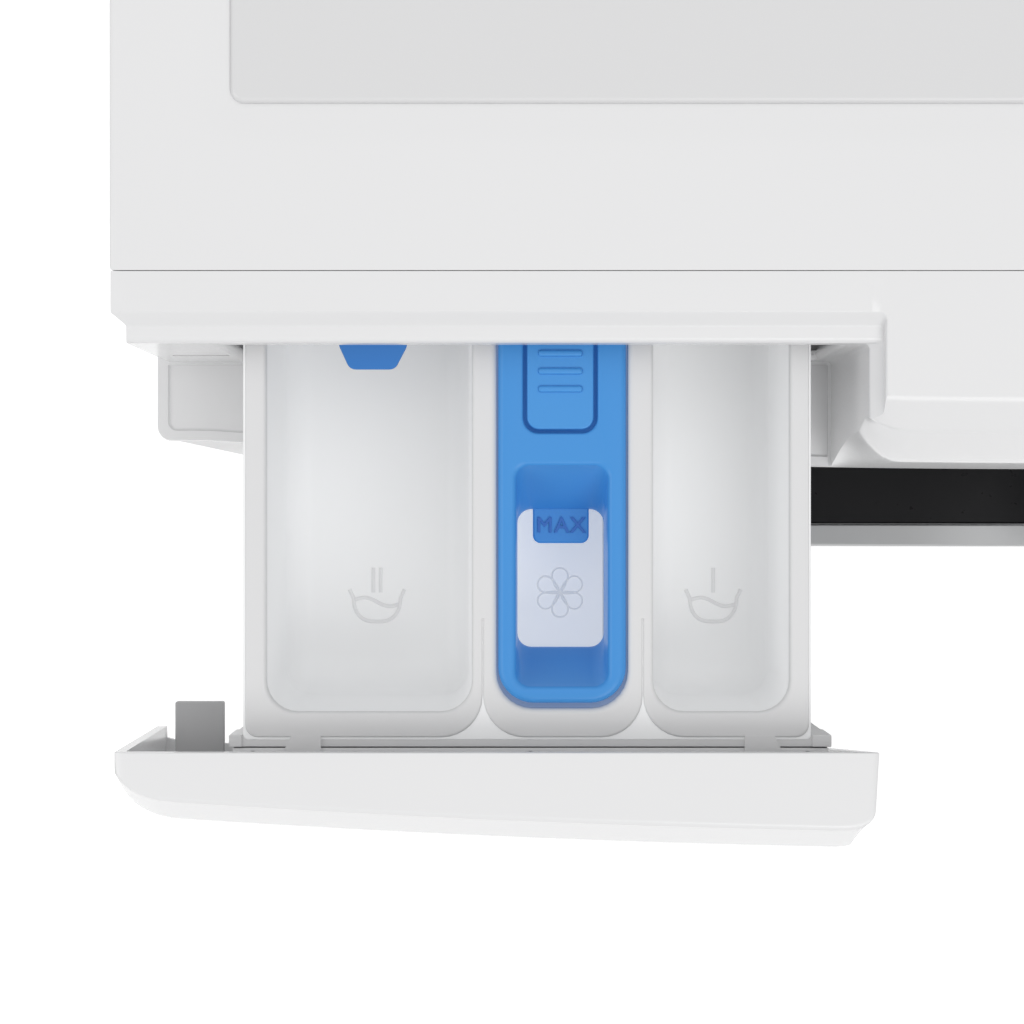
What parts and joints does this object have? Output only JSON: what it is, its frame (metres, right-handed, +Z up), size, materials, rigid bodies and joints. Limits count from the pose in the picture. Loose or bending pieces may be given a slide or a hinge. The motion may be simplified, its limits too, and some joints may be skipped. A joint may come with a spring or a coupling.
{
  "type": "front load washing machine",
  "caption": "White 60 cm front load washing machine, detergent drawer pulled out, with blue siphon insert, round door, suspended tub and belt-driven drum",
  "frame": {"origin": "centre of the bounding box of the whole machine with its drawer pulled out, at floor level under the feet", "axes": "+X to the machine's right as its user faces it, -Y out of its front, +Z up"},
  "size_m": [0.6, 0.6982, 0.85],
  "materials": {
    "worktop_frame": "satin white plastic frame",
    "worktop_board": "white laminated board",
    "side_panel_left": "white enamelled sheet steel",
    "side_panel_right": "white enamelled sheet steel",
    "rear_panel": "galvanised sheet steel",
    "front_panel": "white enamelled sheet steel",
    "base_frame": "dark reinforced plastic",
    "top_brace": "galvanised steel",
    "control_panel": "satin white ABS",
    "display_window": "glossy black",
    "control_board": "green circuit board in its tray",
    "dispenser_housing": "moulded polypropylene",
    "dispenser_hose": "black corrugated rubber",
    "door_hinge_bracket": "steel",
    "door_lock": "black plastic",
    "door_bellows": "grey door seal rubber",
    "suspension_spring_left": "spring steel",
    "suspension_spring_right": "spring steel",
    "damper_cylinder_left": "black plastic",
    "damper_cylinder_right": "black plastic",
    "inlet_valve": "white nylon",
    "drain_outlet": "grey nylon",
    "drain_pump": "grey plastic",
    "sump_hose": "black rubber",
    "drawer_front": "satin white ABS",
    "drawer_tray": "white polypropylene",
    "siphon_insert": "satin blue polypropylene",
    "release_tab": "satin blue polypropylene",
    "liquid_flap": "satin blue polypropylene",
    "door_frame": "glossy black",
    "door_trim_ring": "satin chrome",
    "door_glass": "clear pressed glass",
    "door_inner_frame": "grey plastic",
    "door_latch_hook": "die-cast metal",
    "program_knob": "satin silver",
    "start_button": "satin silver",
    "option_button": "satin silver",
    "filter_hatch": "satin white ABS",
    "pump_filter": "grey plastic",
    "tub_front": "filled polypropylene",
    "tub_rear": "filled polypropylene",
    "front_counterweight": "cast concrete",
    "top_counterweight": "cast concrete",
    "heater": "stainless tube",
    "damper_rod_left": "grey plastic",
    "damper_rod_right": "grey plastic",
    "motor_housing": "laminated steel motor",
    "drive_belt": "ribbed rubber",
    "drum_bearings": "ground steel",
    "drum": "perforated stainless steel",
    "drum_lifter_1": "grey plastic",
    "drum_lifter_2": "grey plastic",
    "drum_lifter_3": "grey plastic",
    "drum_spider": "die-cast spider on a steel shaft",
    "drum_pulley": "die-cast",
    "motor_pulley": "steel",
    "foot_front_left": "black foot on a threaded stud",
    "foot_front_right": "black foot on a threaded stud",
    "foot_rear_left": "black foot on a threaded stud",
    "foot_rear_right": "black foot on a threaded stud"
  },
  "bodies": {
    "cabinet": {"worktop_frame": "worktop_frame", "worktop_board": "worktop_board", "side_panel_left": "side_panel_left", "side_panel_right": "side_panel_right", "rear_panel": "rear_panel", "front_panel": "front_panel", "base_frame": "base_frame", "top_brace": "top_brace", "control_panel": "control_panel", "display_window": "display_window", "control_board": "control_board", "dispenser_housing": "dispenser_housing", "dispenser_hose": "dispenser_hose", "door_hinge_bracket": "door_hinge_bracket", "door_lock": "door_lock", "door_bellows": "door_bellows", "suspension_spring_left": "suspension_spring_left", "suspension_spring_right": "suspension_spring_right", "damper_cylinder_left": "damper_cylinder_left", "damper_cylinder_right": "damper_cylinder_right", "inlet_valve": "inlet_valve", "drain_outlet": "drain_outlet", "drain_pump": "drain_pump", "sump_hose": "sump_hose"},
    "drawer": {"drawer_front": "drawer_front", "drawer_tray": "drawer_tray", "siphon_insert": "siphon_insert"},
    "drawer_release": {"release_tab": "release_tab"},
    "liquid_guide": {"liquid_flap": "liquid_flap"},
    "door": {"door_frame": "door_frame", "door_trim_ring": "door_trim_ring", "door_glass": "door_glass", "door_inner_frame": "door_inner_frame"},
    "latch": {"door_latch_hook": "door_latch_hook"},
    "knob": {"program_knob": "program_knob"},
    "start": {"start_button": "start_button"},
    "option": {"option_button": "option_button"},
    "hatch": {"filter_hatch": "filter_hatch"},
    "filter": {"pump_filter": "pump_filter"},
    "tub": {"tub_front": "tub_front", "tub_rear": "tub_rear", "front_counterweight": "front_counterweight", "top_counterweight": "top_counterweight", "heater": "heater", "damper_rod_left": "damper_rod_left", "damper_rod_right": "damper_rod_right", "motor_housing": "motor_housing", "drive_belt": "drive_belt", "drum_bearings": "drum_bearings"},
    "drum_group": {"drum": "drum", "drum_lifter_1": "drum_lifter_1", "drum_lifter_2": "drum_lifter_2", "drum_lifter_3": "drum_lifter_3", "drum_spider": "drum_spider", "drum_pulley": "drum_pulley"},
    "rotor": {"motor_pulley": "motor_pulley"},
    "foot_front_left": {"foot_front_left": "foot_front_left"},
    "foot_front_right": {"foot_front_right": "foot_front_right"},
    "foot_rear_left": {"foot_rear_left": "foot_rear_left"},
    "foot_rear_right": {"foot_rear_right": "foot_rear_right"}
  },
  "joints": [
    {"name": "drawer_slide", "type": "slide", "parent": "cabinet", "child": "drawer", "axis": [0, -1, 0], "range_m": [-0.119, 0]},
    {"name": "release_tab_press", "type": "hinge", "parent": "drawer", "child": "drawer_release", "pos_m": [-0.1669, -0.179, 0.8263], "axis": [1, 0, 0], "range_deg": [0, 6], "stiffness_Nm_per_rad": 0.3},
    {"name": "liquid_flap_tilt", "type": "hinge", "parent": "drawer", "child": "liquid_guide", "pos_m": [-0.2247, -0.185, 0.8188], "axis": [-1, 0, 0], "range_deg": [-20, 25]},
    {"name": "door_swing", "type": "hinge", "parent": "cabinet", "child": "door", "pos_m": [-0.238, -0.24, 0.44], "axis": [0, 0, -1], "range_deg": [0, 125]},
    {"name": "latch_hook_pivot", "type": "hinge", "parent": "door", "child": "latch", "pos_m": [0.2035, -0.233, 0.44], "axis": [0, 0, 1], "range_deg": [0, 5], "stiffness_Nm_per_rad": 0.5},
    {"name": "knob_turn", "type": "hinge", "parent": "cabinet", "child": "knob", "pos_m": [0.03, -0.2307, 0.7848], "axis": [0, 1, 0], "continuous": true},
    {"name": "start_press", "type": "slide", "parent": "cabinet", "child": "start", "axis": [0, 1, 0], "range_m": [0, 0.0015], "stiffness_N_per_m": 600},
    {"name": "option_press", "type": "slide", "parent": "cabinet", "child": "option", "axis": [0, 1, 0], "range_m": [0, 0.0012], "stiffness_N_per_m": 600},
    {"name": "hatch_open", "type": "hinge", "parent": "cabinet", "child": "hatch", "pos_m": [0.2, -0.22, 0.0512], "axis": [1, 0, 0], "range_deg": [0, 90]},
    {"name": "filter_turn", "type": "hinge", "parent": "cabinet", "child": "filter", "pos_m": [0.2, -0.2145, 0.1], "axis": [0, 1, 0], "range_deg": [-120, 0]},
    {"name": "tub_suspension", "type": "slide", "parent": "cabinet", "child": "tub", "axis": [0, 0, 1], "range_m": [-0.008, 0.008], "stiffness_N_per_m": 20000, "springref_m": 0.01775, "deforming": ["suspension_spring_left", "suspension_spring_right", "dispenser_hose", "sump_hose", "door_bellows"]},
    {"name": "drum_spin", "type": "hinge", "parent": "tub", "child": "drum_group", "pos_m": [0, 0, 0.44], "axis": [0, 1, 0], "continuous": true},
    {"name": "motor_spin", "type": "hinge", "parent": "tub", "child": "rotor", "pos_m": [0.1, 0.28, 0.125], "axis": [0, 1, 0], "continuous": true},
    {"name": "foot_front_left_level", "type": "slide", "parent": "cabinet", "child": "foot_front_left", "axis": [0, 0, -1], "range_m": [0, 0.012]},
    {"name": "foot_rear_left_level", "type": "slide", "parent": "cabinet", "child": "foot_rear_left", "axis": [0, 0, -1], "range_m": [0, 0.012]},
    {"name": "foot_front_right_level", "type": "slide", "parent": "cabinet", "child": "foot_front_right", "axis": [0, 0, -1], "range_m": [0, 0.012]},
    {"name": "foot_rear_right_level", "type": "slide", "parent": "cabinet", "child": "foot_rear_right", "axis": [0, 0, -1], "range_m": [0, 0.012]}
  ],
  "couplings": [
    {"joint": "motor_spin", "follows": "drum_spin", "ratio": 12.5}
  ]
}
